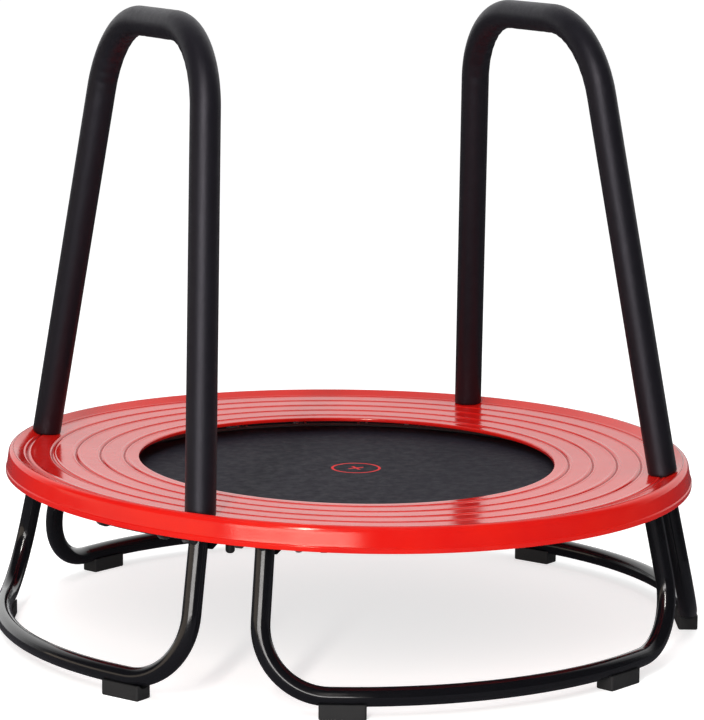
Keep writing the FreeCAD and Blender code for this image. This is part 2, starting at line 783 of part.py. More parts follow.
def make_links():
    """Rounded wire links, half sewn into the hem, that the straps loop through."""
    height = dim("mat_height") + dim("mat_thick") / 2
    inner = dim("hem_outer") - dim("link_sewn")
    outer = dim("hem_outer") + dim("link_reach")
    half = dim("link_length") / 2
    points = [
        Vector(0, -inner, height), Vector(half, -inner, height), Vector(half, -outer, height),
        Vector(-half, -outer, height), Vector(-half, -inner, height), Vector(0, -inner, height),
    ]
    link = swept_rod(bent_path(points, [dim("link_corner")] * 4), dim("link_wire"))
    feature("mat_links", Part.makeCompound([turned(link, angle) for angle in strap_angles()]))


def make_straps():
    """Elastic straps: a loop round the frame tube, a flat run and a loop round the link."""
    width, thick = dim("strap_width"), dim("strap_thick")
    mat_level = dim("mat_height") + dim("mat_thick") / 2
    link_bar = dim("hem_outer") + dim("link_reach")
    ring_inner = dim("tube_radius") + dim("strap_gap")
    link_inner = dim("link_wire") + dim("link_gap")

    def loop(radius, height, inner):
        start = Vector(-width / 2, -radius, height)
        outside = Part.makeCylinder(inner + thick, width, start, Vector(1, 0, 0))
        return outside, Part.makeCylinder(inner, width, start, Vector(1, 0, 0))

    ring_out, ring_in = loop(dim("ring_radius"), dim("ring_height"), ring_inner)
    link_out, link_in = loop(link_bar, mat_level, link_inner)
    near = Vector(0, -link_bar, mat_level)
    far = Vector(0, -dim("ring_radius"), dim("ring_height"))
    run = Part.makeBox(width, (far - near).Length, thick)
    run.translate(Vector(-width / 2, 0, -thick / 2))
    run.Placement = Placement(near, Rotation(Vector(0, 1, 0), far - near)).multiply(run.Placement)
    strap = ring_out.fuse([link_out, run]).cut(ring_in).cut(link_in).removeSplitter()
    feature("elastic_straps", Part.makeCompound([turned(strap, angle) for angle in strap_angles()]))


# ---------------------------------------------------------------- fasteners

def make_leg_bolts():
    """Bolts through leg, plate and ring, with domed nuts on the inside of the ring."""
    bolts, nuts = [], []
    for point, inward in bolt_crossings():
        head_seat = point - inward * (dim("tube_radius") + 1.5)
        reach = (Vector(point.x, point.y, 0).Length - dim("ring_radius")) + 2 * dim("tube_radius") + 6
        head = aimed(dome(dim("head_radius"), dim("head_height")), head_seat, -inward)
        shank = Part.makeCylinder(dim("bolt_radius"), reach, head_seat, inward)
        nut_seat = Vector(-inward.x, -inward.y, 0) * (dim("ring_radius") - dim("tube_radius") - 0.2)
        nut_seat.z = point.z
        nut = aimed(dome(dim("head_radius") - 0.8, 7), nut_seat, inward)
        bolts.append(head.fuse(shank))
        nuts.append(nut.cut(Part.makeCylinder(dim("bolt_radius") + 0.05, reach, head_seat, inward)))
    for label, items in (("leg_bolts", bolts), ("leg_nuts", nuts)):
        feature(label, Part.makeCompound([turned(item, 90 * turn) for turn in range(4) for item in items]))


def make_joint_bolts():
    """Upright bolts that lock each ring joint, with long domed caps underneath."""
    bolts, caps = [], []
    low = dim("ring_height") - dim("tube_radius")
    high = dim("ring_height") + dim("tube_radius")
    for turn in range(4):
        place = polar(dim("ring_radius"), 90 * turn + 90 - dim("joint_bolt_angle"), 0)
        head = aimed(dome(dim("head_radius"), dim("head_height")), place + UP * (high + 0.1), UP)
        shank = Part.makeCylinder(dim("bolt_radius"), high - low + 6, place + UP * (low - 5.9))
        cap = aimed(dome(dim("cap_radius"), dim("cap_height")), place + UP * (low - 0.1), -UP)
        bolts.append(head.fuse(shank))
        caps.append(cap.cut(Part.makeCylinder(dim("bolt_radius") + 0.05, high - low + 6, place + UP * (low - 5.95))))
    feature("joint_bolts", Part.makeCompound(bolts))
    feature("joint_caps", Part.makeCompound(caps))


def make_cover_screws():
    """Screws up through the ring tube into the cover's posts."""
    low = dim("ring_height") - dim("tube_radius")
    screws = []
    for turn in range(4):
        for sign in (1, -1):
            place = polar(dim("ring_radius"), 90 * turn + sign * dim("cover_screw_angle"), 0)
            head = aimed(dome(4.5, 3.4), place + UP * (low - 0.1), -UP)
            reach = 2 * dim("tube_radius") + dim("post_gap") + dim("pilot_depth") - 1
            shank = Part.makeCylinder(dim("post_pilot") - 0.05, reach, place + UP * (low - 0.2))
            screws.append(head.fuse(shank))
    feature("cover_screws", Part.makeCompound(screws))


# ---------------------------------------------------------------- build, check and write

make_cover()
make_ring_quarters()
make_ring_sleeves()
make_legs()
make_leg_plates()
make_feet()
make_foot_screws()
make_leg_plugs()
make_handle_tubes()
make_foam_grips()
make_mat()
make_links()
make_straps()
make_leg_bolts()
make_joint_bolts()
make_cover_screws()
doc.recompute()

for item in doc.Objects:
    if {"Invalid", "Error"} & set(item.State):
        raise ValueError("failed object: %s %s" % (item.Label, item.State))

SUBPART_TYPES = ("PartDesign::Body", "Part::Feature", "Part::Cylinder", "Part::Cut")
CONSTRUCTION = ("cover_room", "grip_core_right", "grip_core_left")
subparts = [item for item in doc.Objects if item.TypeId in SUBPART_TYPES and item.Label not in CONSTRUCTION]
for item in subparts:
    if item.Shape.isNull() or not item.Shape.isValid():
        raise ValueError("bad shape: " + item.Label)

for item in subparts:
    item.Shape.exportStep("parts/%s.step" % item.Label)
    print("%-22s %2d solids %10.0f mm3" % (item.Label, len(item.Shape.Solids), item.Shape.Volume))
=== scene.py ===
import math

import bmesh
import bpy
import numpy as np
from mathutils import Matrix, Vector


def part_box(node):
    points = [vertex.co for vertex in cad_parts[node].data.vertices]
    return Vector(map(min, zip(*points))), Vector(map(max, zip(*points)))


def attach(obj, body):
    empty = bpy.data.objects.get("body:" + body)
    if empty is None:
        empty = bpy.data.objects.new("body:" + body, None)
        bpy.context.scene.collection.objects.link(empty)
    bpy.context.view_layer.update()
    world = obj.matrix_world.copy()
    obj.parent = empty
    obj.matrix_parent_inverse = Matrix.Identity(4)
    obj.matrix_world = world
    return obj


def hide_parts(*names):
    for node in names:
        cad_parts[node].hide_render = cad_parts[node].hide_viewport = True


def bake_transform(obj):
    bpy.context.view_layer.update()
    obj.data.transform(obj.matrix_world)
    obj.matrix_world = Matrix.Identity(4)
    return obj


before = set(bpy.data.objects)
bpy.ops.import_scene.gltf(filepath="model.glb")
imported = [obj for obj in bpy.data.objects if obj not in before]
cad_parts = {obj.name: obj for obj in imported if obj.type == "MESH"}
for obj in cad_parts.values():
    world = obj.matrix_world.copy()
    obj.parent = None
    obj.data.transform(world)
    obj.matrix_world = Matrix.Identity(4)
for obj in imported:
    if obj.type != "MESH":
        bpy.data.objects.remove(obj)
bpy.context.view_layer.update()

COLLECTION = bpy.context.scene.collection

# ------------------------------------------------------------------ sizes, from the frame

COVER_LOW, COVER_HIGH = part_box("cover_ring")
RING_LOW, RING_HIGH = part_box("frame_ring_front")
MAT_LOW, MAT_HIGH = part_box("mat")

TUBE_R = (RING_HIGH.z - RING_LOW.z) / 2
RING_Z = (RING_HIGH.z + RING_LOW.z) / 2
RING_R = -RING_LOW.y - TUBE_R
SKIRT_R = COVER_HIGH.x
SKIRT_Z = COVER_LOW.z
RIM_Z = COVER_HIGH.z
MAT_R = MAT_HIGH.x
MAT_Z = MAT_HIGH.z
MAT_THICK = MAT_HIGH.z - MAT_LOW.z
LINK_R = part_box("mat_links")[1].x
GRIP_R = 0.0192
GRIP_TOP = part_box("foam_grip_right")[1].z - GRIP_R
STRAPS = 24

# moulded cover: its section's radii and heights, as in the CAD part
WALL = 0.003
BEAD_TOP = SKIRT_Z + 0.006
RIM_OUTER = 0.452
RIM_INNER = 0.4445
PANEL_OUTER = 0.430
PANEL_Z = 0.2286
HOLE_R = 0.2775
LIP_Z = 0.225
LIP_LOW = 0.2202
GROOVES = [0.425 - 0.032 * step for step in range(5)]
GROOVE_HALF = 0.0022
GROOVE_DEPTH = 0.0016
SWELLING = 0.0003
# how far from a groove its swelling reaches, in half widths of the groove
SWELLING_REACH = 2.4

# the camera's own directions on the floor, which the cover's slight tilt is measured along
CAMERA_AZIMUTH = math.radians(-26.19)
RIGHTWARD = Vector((math.cos(CAMERA_AZIMUTH), math.sin(CAMERA_AZIMUTH), 0))
AWAY = Vector((-math.sin(CAMERA_AZIMUTH), math.cos(CAMERA_AZIMUTH), 0))


# ------------------------------------------------------------------ node helpers

class Shader:
    """A material's node tree with a Principled shader, and short ways to add nodes to it."""

    def __init__(self, name, colour, roughness, **sockets):
        self.material = bpy.data.materials.new(name)
        self.material.use_nodes = True
        self.nodes = self.material.node_tree.nodes
        self.links = self.material.node_tree.links
        self.bsdf = self.nodes["Principled BSDF"]
        self.bsdf.inputs["Base Color"].default_value = (*colour, 1)
        self.bsdf.inputs["Roughness"].default_value = roughness
        for socket, number in sockets.items():
            self.bsdf.inputs[socket.replace("_", " ")].default_value = number
        self.place = self.add("ShaderNodeTexCoord").outputs["Object"]

    def add(self, kind, **settings):
        node = self.nodes.new(kind)
        for key, setting in settings.items():
            setattr(node, key, setting)
        return node

    def link(self, source, target):
        self.links.new(source, target)

    def noise(self, scale, detail=3.0, roughness=0.5, stretch=None):
        node = self.add("ShaderNodeTexNoise")
        node.inputs["Scale"].default_value = scale
        node.inputs["Detail"].default_value = detail
        node.inputs["Roughness"].default_value = roughness
        self.link(self.stretched(stretch), node.inputs["Vector"])
        return node.outputs["Fac"]

    def stretched(self, stretch):
        if stretch is None:
            return self.place
        node = self.add("ShaderNodeMapping")
        node.inputs["Scale"].default_value = stretch
        self.link(self.place, node.inputs["Vector"])
        return node.outputs["Vector"]

    def math(self, operation, first, second=None, clamp=False):
        node = self.add("ShaderNodeMath", operation=operation, use_clamp=clamp)
        for socket, source in zip(node.inputs, (first, second)):
            if source is None:
                continue
            if isinstance(source, (int, float)):
                socket.default_value = source
            else:
                self.link(source, socket)
        return node.outputs[0]

    def ranged(self, source, low, high, to_low, to_high):
        node = self.add("ShaderNodeMapRange")
        limits = (("From Min", low), ("From Max", high), ("To Min", to_low), ("To Max", to_high))
        for name, number in limits:
            node.inputs[name].default_value = number
        self.link(source, node.inputs["Value"])
        return node.outputs["Result"]

    def varied(self, scale, detail, low, high):
        """A number that wanders between low and high over the surface."""
        return self.ranged(self.noise(scale, detail, 0.6), 0.3, 0.7, low, high)

    def mix(self, factor, first, second):
        node = self.add("ShaderNodeMix", data_type="RGBA")
        self.link(factor, node.inputs["Factor"])
        for socket, source in ((node.inputs["A"], first), (node.inputs["B"], second)):
            if isinstance(source, tuple):
                socket.default_value = (*source, 1)
            else:
                self.link(source, socket)
        return node.outputs["Result"]

    def colour(self, source):
        self.link(source, self.bsdf.inputs["Base Color"])

    def roughness(self, source):
        self.link(source, self.bsdf.inputs["Roughness"])

    def bump(self, height, distance, strength=1.0, below=None):
        node = self.add("ShaderNodeBump")
        node.inputs["Distance"].default_value = distance
        node.inputs["Strength"].default_value = strength
        self.link(height, node.inputs["Height"])
        if below is not None:
            self.link(below, node.inputs["Normal"])
        self.link(node.outputs["Normal"], self.bsdf.inputs["Normal"])
        return node.outputs["Normal"]

    def sides(self):
        """X and Y, in metres."""
        split = self.add("ShaderNodeSeparateXYZ")
        self.link(self.place, split.inputs[0])
        return split.outputs[0], split.outputs[1]

    def length(self, x, y):
        squared = self.math("ADD", self.math("MULTIPLY", x, x), self.math("MULTIPLY", y, y))
        return self.math("SQRT", squared)

    def band(self, distance, centre, half_width, edge):
        """1 within half_width of centre, falling to 0 over edge."""
        gap = self.math("ABSOLUTE", self.math("SUBTRACT", distance, centre))
        return self.ranged(gap, half_width - edge / 2, half_width + edge / 2, 1, 0)

    def weave(self, pitch):
        """Height of a plain weave of flat tapes along X and Y."""
        across, along = self.sides()
        turns = math.pi / pitch
        x = self.math("SINE", self.math("MULTIPLY", across, turns))
        y = self.math("SINE", self.math("MULTIPLY", along, turns))
        over = self.math("MULTIPLY", x, y)
        crown = self.math("MULTIPLY", self.math("ABSOLUTE", x), 0.5)
        return self.math("ADD", crown, self.math("MULTIPLY", over, 0.5))


# ------------------------------------------------------------------ materials

def red_plastic():
    """Glossy moulded plastic with painted shade along its grooves, faint flow marks and a fine grain."""
    s = Shader("red_plastic", (0.52, 0.004, 0.006), 0.15,
               Specular_IOR_Level=0.5, Specular_Tint=(1, 0.86, 0.74, 1))
    radius = s.length(*s.sides())
    # painted shade: a thin band along each groove, later filled with a darker red where the recess would
    # lie in shade
    lines = s.band(radius, GROOVES[0], 0.0011, 0.0009)
    for groove in GROOVES[1:]:
        lines = s.math("MAXIMUM", lines, s.band(radius, groove, 0.0011, 0.0009))
    flow = s.noise(9, 3, 0.55)
    plain = s.mix(s.ranged(flow, 0.35, 0.65, 0, 1), (0.49, 0.006, 0.005), (0.54, 0.009, 0.005))
    # the groove bands take the darker red: painted shade in the grooves
    s.colour(s.mix(lines, plain, (0.30, 0.002, 0.003)))
    s.roughness(s.math("MAXIMUM", s.varied(26, 4, 0.10, 0.19), s.math("MULTIPLY", lines, 0.42)))
    broad = s.bump(s.noise(14, 2, 0.5), 0.0014, 0.3)
    s.bump(s.noise(420, 3, 0.5), 0.00015, 0.2, below=broad)
    return s.material


def powder_coat():
    """Gloss black powder coat with its slight orange-peel."""
    s = Shader("black_powder_coat", (0.0032, 0.0032, 0.0044), 0.14,
               Coat_Weight=0.5, Coat_Roughness=0.07)
    s.roughness(s.varied(40, 4, 0.13, 0.22))
    s.bump(s.noise(520, 2, 0.5), 0.00012, 0.3)
    return s.material


def zinc_plate():
    """Zinc-plated steel, mottled by its plating."""
    s = Shader("zinc_plate", (0.62, 0.62, 0.64), 0.32, Metallic=1.0)
    s.colour(s.mix(s.noise(180, 3, 0.6), (0.5, 0.5, 0.53), (0.7, 0.69, 0.66)))
    s.roughness(s.varied(90, 4, 0.24, 0.42))
    return s.material


def bare_steel():
    """Plain drawn steel."""
    s = Shader("drawn_steel", (0.4, 0.4, 0.41), 0.38, Metallic=1.0)
    s.roughness(s.varied(120, 4, 0.3, 0.5))
    return s.material


def moulded_rubber():
    """Matt rubber with a fine pebbled skin."""
    s = Shader("foot_rubber", (0.012, 0.012, 0.013), 0.62)
    s.roughness(s.varied(60, 4, 0.55, 0.72))
    s.colour(s.mix(s.noise(30, 4, 0.6), (0.009, 0.009, 0.010), (0.018, 0.018, 0.019)))
    s.bump(s.noise(900, 3, 0.6), 0.0002, 0.4)
    return s.material


def satin_plastic():
    """Black moulded plastic, satin."""
    s = Shader("black_plastic", (0.012, 0.012, 0.013), 0.38)
    s.roughness(s.varied(70, 3, 0.32, 0.46))
    s.bump(s.noise(700, 2, 0.5), 0.0001, 0.3)
    return s.material


def black_oxide():
    """Blackened steel of the bolts."""
    s = Shader("black_oxide", (0.03, 0.03, 0.032), 0.34, Metallic=0.7)
    s.roughness(s.varied(150, 3, 0.26, 0.44))
    return s.material


def foam_skin():
    """Closed-cell foam: a satin skin with fine pores and soft dents."""
    s = Shader("grip_foam", (0.006, 0.0057, 0.007), 0.4,
               Specular_IOR_Level=0.42, Specular_Tint=(0.88, 0.86, 1, 1))
    s.colour(s.mix(s.noise(55, 4, 0.6), (0.0042, 0.0038, 0.0056), (0.0075, 0.0068, 0.0096)))
    s.roughness(s.varied(120, 4, 0.36, 0.45))
    cells = s.add("ShaderNodeTexVoronoi", feature="DISTANCE_TO_EDGE")
    cells.inputs["Scale"].default_value = 1500
    s.link(s.place, cells.inputs["Vector"])
    pores = s.bump(s.ranged(cells.outputs["Distance"], 0, 0.25, 0, 1), 0.00012, 0.35)
    s.bump(s.noise(70, 3, 0.55), 0.0006, 0.3, below=pores)
    return s.material


# the mark printed on the mat: a ring round a small cross, a little off the mat's centre
MARK_CENTRE = RIGHTWARD * 0.0125 + AWAY * 0.024
MARK_RING = 0.0318
MARK_RING_HALF = 0.0016
MARK_BAR_HALF = 0.0018
MARK_BAR_REACH = 0.011
MARK_EDGE = 0.0006


def woven_mat():
    """Woven polypropylene, painted darker in the hollows of its weave as shade, with a printed plain
    mark near its centre.
    """
    s = Shader("woven_mat", (0.012, 0.012, 0.016), 0.7,
               Specular_IOR_Level=0.2, Specular_Tint=(0.9, 0.86, 1, 1))
    height = s.weave(0.0011)
    slub = s.noise(60, 4, 0.6, stretch=(1, 9, 1))
    # painted shade: the weave's dips between the tapes are painted darker than its crowns
    shade = s.mix(s.ranged(height, -0.3, 0.8, 0, 1), (0.006, 0.0055, 0.009), (0.015, 0.014, 0.021))
    shade = s.mix(s.ranged(slub, 0.35, 0.7, 0, 0.5), shade, (0.018, 0.017, 0.025))
    x, y = s.sides()
    x, y = s.math("SUBTRACT", x, MARK_CENTRE.x), s.math("SUBTRACT", y, MARK_CENTRE.y)
    mark = s.band(s.length(x, y), MARK_RING, MARK_RING_HALF, 0.0008)
    for thin, long in ((x, y), (y, x)):
        bar = s.math("MULTIPLY", s.band(thin, 0, MARK_BAR_HALF, MARK_EDGE),
                     s.band(long, 0, MARK_BAR_REACH, MARK_EDGE))
        mark = s.math("MAXIMUM", mark, bar, clamp=True)
    s.colour(s.mix(mark, shade, (0.62, 0.03, 0.03)))
    s.roughness(s.varied(90, 3, 0.62, 0.8))
    s.bump(height, 0.0004, 0.5)
    return s.material


def webbing():
    """Woven tape sewn round the mat's edge."""
    s = Shader("hem_webbing", (0.013, 0.013, 0.015), 0.7, Sheen_Weight=0.15)
    s.bump(s.weave(0.0016), 0.0005, 0.6)
    s.colour(s.mix(s.noise(80, 4, 0.6), (0.009, 0.009, 0.011), (0.02, 0.02, 0.023)))
    return s.material


def strap_elastic():
    """Woven elastic with fine ribs round the strap."""
    s = Shader("strap_elastic", (0.012, 0.012, 0.014), 0.66, Sheen_Weight=0.1)
    s.bump(s.noise(900, 2, 0.5, stretch=(1, 1, 0.2)), 0.0003, 0.5)
    s.colour(s.mix(s.noise(70, 4, 0.6), (0.008, 0.008, 0.010), (0.022, 0.022, 0.026)))
    return s.material


def floor_paint():
    """Pale floor that glows a little, so the shade under the object stays light; dim in reflections."""
    s = Shader("studio_floor", (0.7, 0.7, 0.7), 0.9,
               Specular_IOR_Level=0.0, Emission_Color=(1, 1, 1, 1))
    mirrored = s.add("ShaderNodeLightPath").outputs["Is Glossy Ray"]
    s.colour(s.mix(mirrored, (0.7, 0.7, 0.7), (0.08, 0.08, 0.09)))
    s.link(s.ranged(mirrored, 0, 1, 0.66, 0.0), s.bsdf.inputs["Emission Strength"])
    return s.material


RED = red_plastic()
COAT = powder_coat()
ZINC = zinc_plate()
STEEL = bare_steel()
RUBBER = moulded_rubber()
PLASTIC = satin_plastic()
OXIDE = black_oxide()
FOAM = foam_skin()
MAT = woven_mat()
WEBBING = webbing()
ELASTIC = strap_elastic()


# ------------------------------------------------------------------ mesh helpers

def make_object(name, vertices, faces, material, smooth=True):
    """Object of one mesh in the scene, in one material."""
    mesh = bpy.data.meshes.new(name)
    mesh.from_pydata([tuple(v) for v in vertices], [], faces)
    mesh.update()
    mesh.materials.append(material)
    if smooth:
        mesh.shade_smooth()
    piece = bpy.data.objects.new(name, mesh)
    COLLECTION.objects.link(piece)
    return piece


def loft(rings, closed_path=False, caps=True):
    """Vertices and faces of a skin over equal rings of points, each ring a closed loop."""
    count = len(rings[0])
    vertices = [point for ring in rings for point in ring]
    faces = []
    last = len(rings) if closed_path else len(rings) - 1
    for row in range(last):
        following = (row + 1) % len(rings)
        for column in range(count):
            right = (column + 1) % count
            faces.append((row * count + column, row * count + right,
                          following * count + right, following * count + column))
    if caps and not closed_path:
        faces.append(tuple(reversed(range(count))))
        faces.append(tuple((len(rings) - 1) * count + column for column in range(count)))
    return vertices, faces


def outward(piece):
    """Makes every face look outwards."""
    mesh = bmesh.new()
    mesh.from_mesh(piece.data)
    bmesh.ops.recalc_face_normals(mesh, faces=mesh.faces)
    mesh.to_mesh(piece.data)
    mesh.free()
    return piece


def rounded_corner(before, corner, after, radius, steps):
    """Points of the tangent arc at a corner of a path."""
    back = (before - corner).normalized()
    ahead = (after - corner).normalized()
    half = back.angle(ahead) / 2
    centre = corner + (back + ahead).normalized() * radius / math.sin(half)
    start = corner + back * radius / math.tan(half) - centre
    end = corner + ahead * radius / math.tan(half) - centre
    sweep = start.angle(end)
    points = []
    for step in range(steps + 1):
        share = step / steps
        mixed = start * math.sin((1 - share) * sweep) + end * math.sin(share * sweep)
        points.append(centre + mixed / math.sin(sweep))
    return points


def rounded_path(corners, radii, steps, spacing):
    """Points along straight runs joined by tangent arcs, runs divided into short pieces."""
    points = [corners[0]]
    for before, corner, after, radius in zip(corners, corners[1:], corners[2:], radii):
        arc = rounded_corner(before, corner, after, radius, steps)
        points += divided(points[-1], arc[0], spacing)[1:] + arc[1:]
    points += divided(points[-1], corners[-1], spacing)[1:]
    return points


def divided(start, end, spacing):
    """Points of a straight run about spacing apart, both ends included."""
    count = max(1, round((end - start).length / spacing))
    return [start.lerp(end, step / count) for step in range(count + 1)]


def path_frames(points, side):
    """Direction, sideways and upward vectors at each point of a path."""
    frames = []
    for index, point in enumerate(points):
        before = points[max(index - 1, 0)]
        after = points[min(index + 1, len(points) - 1)]
        along = (after - before).normalized()
        across = (side - along * side.dot(along)).normalized()
        frames.append((point, along, across, along.cross(across)))
    return frames


# ------------------------------------------------------------------ moulded cover

def panel_height(radius):
    """Height of the shallow cone that the panels lie on."""
    return LIP_Z + (radius - HOLE_R) * (PANEL_Z - LIP_Z) / (PANEL_OUTER - HOLE_R)


def cover_top(radius):
    """Height of the cover's top surface without its grooves."""
    if radius > RIM_INNER:
        return RIM_Z
    if radius > PANEL_OUTER:
        share = (radius - PANEL_OUTER) / (RIM_INNER - PANEL_OUTER)
        return PANEL_Z + share * (RIM_Z - PANEL_Z)
    return panel_height(radius)


# the cover as it sits: lift per metre rightwards and away, lift per square metre of their
# products, and how far the rim is moved rightwards
TILT_RIGHT, TILT_AWAY = -0.0138, 0.0067
WARP_RIGHT, WARP_TWIST, WARP_AWAY = 0.0259, 0.0194, 0.0067
RIM_SHIFT = 0.0031


def settled(point):
    """Point of the cover as it sits: slightly tilted and warped, its rim a little to one side."""
    across, depth = point.dot(RIGHTWARD), point.dot(AWAY)
    radius = math.hypot(point.x, point.y)
    share = min(1.0, max(0.0, (radius - PANEL_OUTER) / (SKIRT_R - PANEL_OUTER)))
    lift = TILT_RIGHT * across + TILT_AWAY * depth
    lift += WARP_RIGHT * across ** 2 + WARP_TWIST * across * depth + WARP_AWAY * depth ** 2
    return point + RIGHTWARD * RIM_SHIFT * share + Vector((0, 0, lift))


# places of two corners in the cover's list, each at the end of a long run
RIM_CORNER, LIP_CORNER = 3, 6


def cover_profile():
    """Section of the moulded wall: up the skirt, over the rim and panels, and back underneath."""
    # each corner's radius and height, and the radius that rounds it
    skirt_top = SKIRT_R - 0.0012
    corners = [
        (SKIRT_R, SKIRT_Z, 0.0012),
        (SKIRT_R, BEAD_TOP, 0.0010),
        (skirt_top, BEAD_TOP + 0.0014, 0.0008),
        (RIM_OUTER, RIM_Z, 0.0075),
        (RIM_INNER, RIM_Z, 0.006),
        (PANEL_OUTER, PANEL_Z, 0.007),
        (HOLE_R, LIP_Z, 0.0018),
        (HOLE_R, LIP_LOW, 0.0007),
        (HOLE_R + WALL, LIP_LOW, 0.0007),
        (HOLE_R + WALL, LIP_Z - WALL, 0.0007),
        (PANEL_OUTER, PANEL_Z - WALL, 0.003),
        (RIM_INNER + WALL / 2, RIM_Z - WALL, 0.002),
        (RIM_OUTER - WALL, RIM_Z - WALL, 0.002),
        (skirt_top - WALL, BEAD_TOP, 0.001),
        (SKIRT_R - WALL, SKIRT_Z, 0.0012),
    ]
    points = []
    for index, (radius, height, rounding) in enumerate(corners):
        before = Vector((*corners[index - 1][:2], 0))
        after = Vector((*corners[(index + 1) % len(corners)][:2], 0))
        arc = rounded_corner(before, Vector((radius, height, 0)), after, rounding, 6)
        if index == LIP_CORNER:
            points += panel_points(points[-1][0], arc[0].x)
        elif index == RIM_CORNER:
            points += straight_fill(points[-1], arc[0], 5)
        points += [(p.x, p.y) for p in arc]
    return points


def straight_fill(start, end, count):
    """Points that divide a straight run into count pieces, without its ends."""
    across, up = end.x - start[0], end.y - start[1]
    return [(start[0] + across * step / count, start[1] + up * step / count)
            for step in range(1, count)]


def panel_points(outer, inner):
    """Top of the panels from the rim's foot to the lip, with a groove and a soft ridge at each line."""
    radii = set(np.linspace(outer, inner, 36)[1:-1].tolist())
    shares = np.linspace(-SWELLING_REACH, SWELLING_REACH, 25)
    for groove in GROOVES:
        radii = {r for r in radii if abs(r - groove) > GROOVE_HALF * 2.6}
        near = (groove + GROOVE_HALF * share for share in shares)
        radii |= {radius for radius in near if inner < radius < outer}
    return [(radius, panel_height(radius) + line_shape(radius))
            for radius in sorted(radii, reverse=True)]


def line_shape(radius):
    """Rise and fall of the moulded lines: a narrow groove with a low swelling each side."""
    height = 0.0
    for groove in GROOVES:
        share = abs(radius - groove) / GROOVE_HALF
        if share < 1:
            height -= GROOVE_DEPTH * math.cos(share * math.pi / 2) ** 1.4
        elif share < SWELLING_REACH:
            height += SWELLING * math.sin((share - 1) / 1.4 * math.pi)
    return height


COVER_SEGMENTS = 360


def make_cover():
    """Red cover: its section turned about Z and settled on the frame."""
    profile = cover_profile()
    rings = []
    for step in range(COVER_SEGMENTS):
        angle = 2 * math.pi * step / COVER_SEGMENTS
        across, along = math.cos(angle), math.sin(angle)
        rings.append([settled(Vector((r * across, r * along, z))) for r, z in profile])
    vertices, faces = loft(rings, closed_path=True)
    piece = outward(make_object("moulded_cover", vertices, faces, RED))
    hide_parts("cover_ring")
    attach(piece, "frame")


# ------------------------------------------------------------------ foam grips

# handle hoop's centreline, as in the CAD part
HANDLE_TOP_SIDE = 0.1536
HANDLE_BEND = 0.118
HANDLE_OUT = 0.3297
HANDLE_SIDE = 0.2694
HANDLE_FOOT = 0.221
HANDLE_LEAN = 0.058
GRIP_AROUND = 64
CREASE = 0.0005


def hoop_point(side, rise, turn):
    """Point of a handle hoop: sideways along the hoop and a share of its rise, turned about Z."""
    height = HANDLE_FOOT + rise * (GRIP_TOP - HANDLE_FOOT)
    local = Vector((side, -(HANDLE_OUT - HANDLE_LEAN * rise), height))
    return Matrix.Rotation(turn, 3, "Z") @ local


def seat_gap(point):
    """Height of a point above the cover as it sits."""
    radius = math.hypot(point.x, point.y)
    return point.z - settled(Vector((point.x, point.y, cover_top(radius)))).z


def seat_distance(base, along, offset):
    """How far along a straight run, moved sideways by offset, it comes out of the cover."""
    low, high = 0.0, 0.04
    for _ in range(24):
        middle = (low + high) / 2
        if seat_gap(base + along * middle + offset) < 0:
            low = middle
        else:
            high = middle
    return high


# how long the grip's cut end is, and its rows: share of that length, and change in radius
SEAT_RUN = 0.05
SEAT_ROWS = ((0.0, -0.0016), (0.012, -0.0006), (0.04, -0.0001), (0.1, 0.0), (0.25, 0.0),
             (0.5, 0.0), (0.75, 0.0))


def grip_directions(across, up):
    """Unit vectors round the grip."""
    angles = [2 * math.pi * column / GRIP_AROUND for column in range(GRIP_AROUND)]
    return [across * math.cos(angle) + up * math.sin(angle) for angle in angles]


def seat_rings(base, along, across, up):
    """Rows of the grip next to the cover, from its soft cut end to a plain section."""
    rings = []
    directions = grip_directions(across, up)
    starts = [seat_distance(base, along, d * GRIP_R) for d in directions]
    for share, inset in SEAT_ROWS:
        rings.append([base + along * (start + (SEAT_RUN - start) * share) + d * (GRIP_R + inset)
                      for d, start in zip(directions, starts)])
    return rings


def make_grip(name, turn):
    """Foam sleeve: a soft tube with creases inside its bends, its ends cut to the cover."""
    corners = [
        hoop_point(HANDLE_SIDE, 0, turn),
        hoop_point(HANDLE_TOP_SIDE, 1, turn),
        hoop_point(-HANDLE_TOP_SIDE, 1, turn),
        hoop_point(-HANDLE_SIDE, 0, turn),
    ]
    first = (corners[1] - corners[0]).normalized()
    last = (corners[2] - corners[3]).normalized()
    run = [corners[0] + first * SEAT_RUN, corners[1], corners[2], corners[3] + last * SEAT_RUN]
    path = rounded_path(run, [HANDLE_BEND] * 2, steps=56, spacing=0.004)
    hoop_centre = ((corners[0] + corners[3]) / 2).lerp((corners[1] + corners[2]) / 2, 0.7)
    normal = (corners[1] - corners[0]).cross(corners[2] - corners[1]).normalized()
    rings = []
    frames = path_frames(path, normal)
    for index, (point, along, across, up) in enumerate(frames):
        bend = bend_share(point, corners)
        inward = hoop_centre - point
        inward = (inward - along * inward.dot(along)).normalized()
        wave = math.sin(index * 0.9 + 0.8 * math.sin(index * 0.23))
        ring = []
        for direction in grip_directions(across, up):
            facing = max(0.0, direction.dot(inward))
            crease = CREASE * bend * facing ** 2 * wave
            ring.append(point + direction * (GRIP_R + crease))
        rings.append(ring)
    _, along, across, up = frames[0]
    start_rings = seat_rings(corners[0], along, across, up)
    _, along, across, up = frames[-1]
    end_rings = seat_rings(corners[3], -along, across, up)
    vertices, faces = loft(start_rings + rings + end_rings[::-1])
    return outward(make_object(name, vertices, faces, FOAM))


def bend_share(point, corners):
    """1 in the hoop's bends, falling to 0 along its straight runs."""
    nearest = min((point - corner).length for corner in corners[1:3])
    return max(0.0, min(1.0, 1.6 - nearest / 0.09))


def make_grips():
    for side, turn in (("right", math.radians(90)), ("left", math.radians(-90))):
        piece = make_grip("soft_grip_" + side, turn)
        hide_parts("foam_grip_" + side)
        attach(piece, "frame")


# ------------------------------------------------------------------ mat

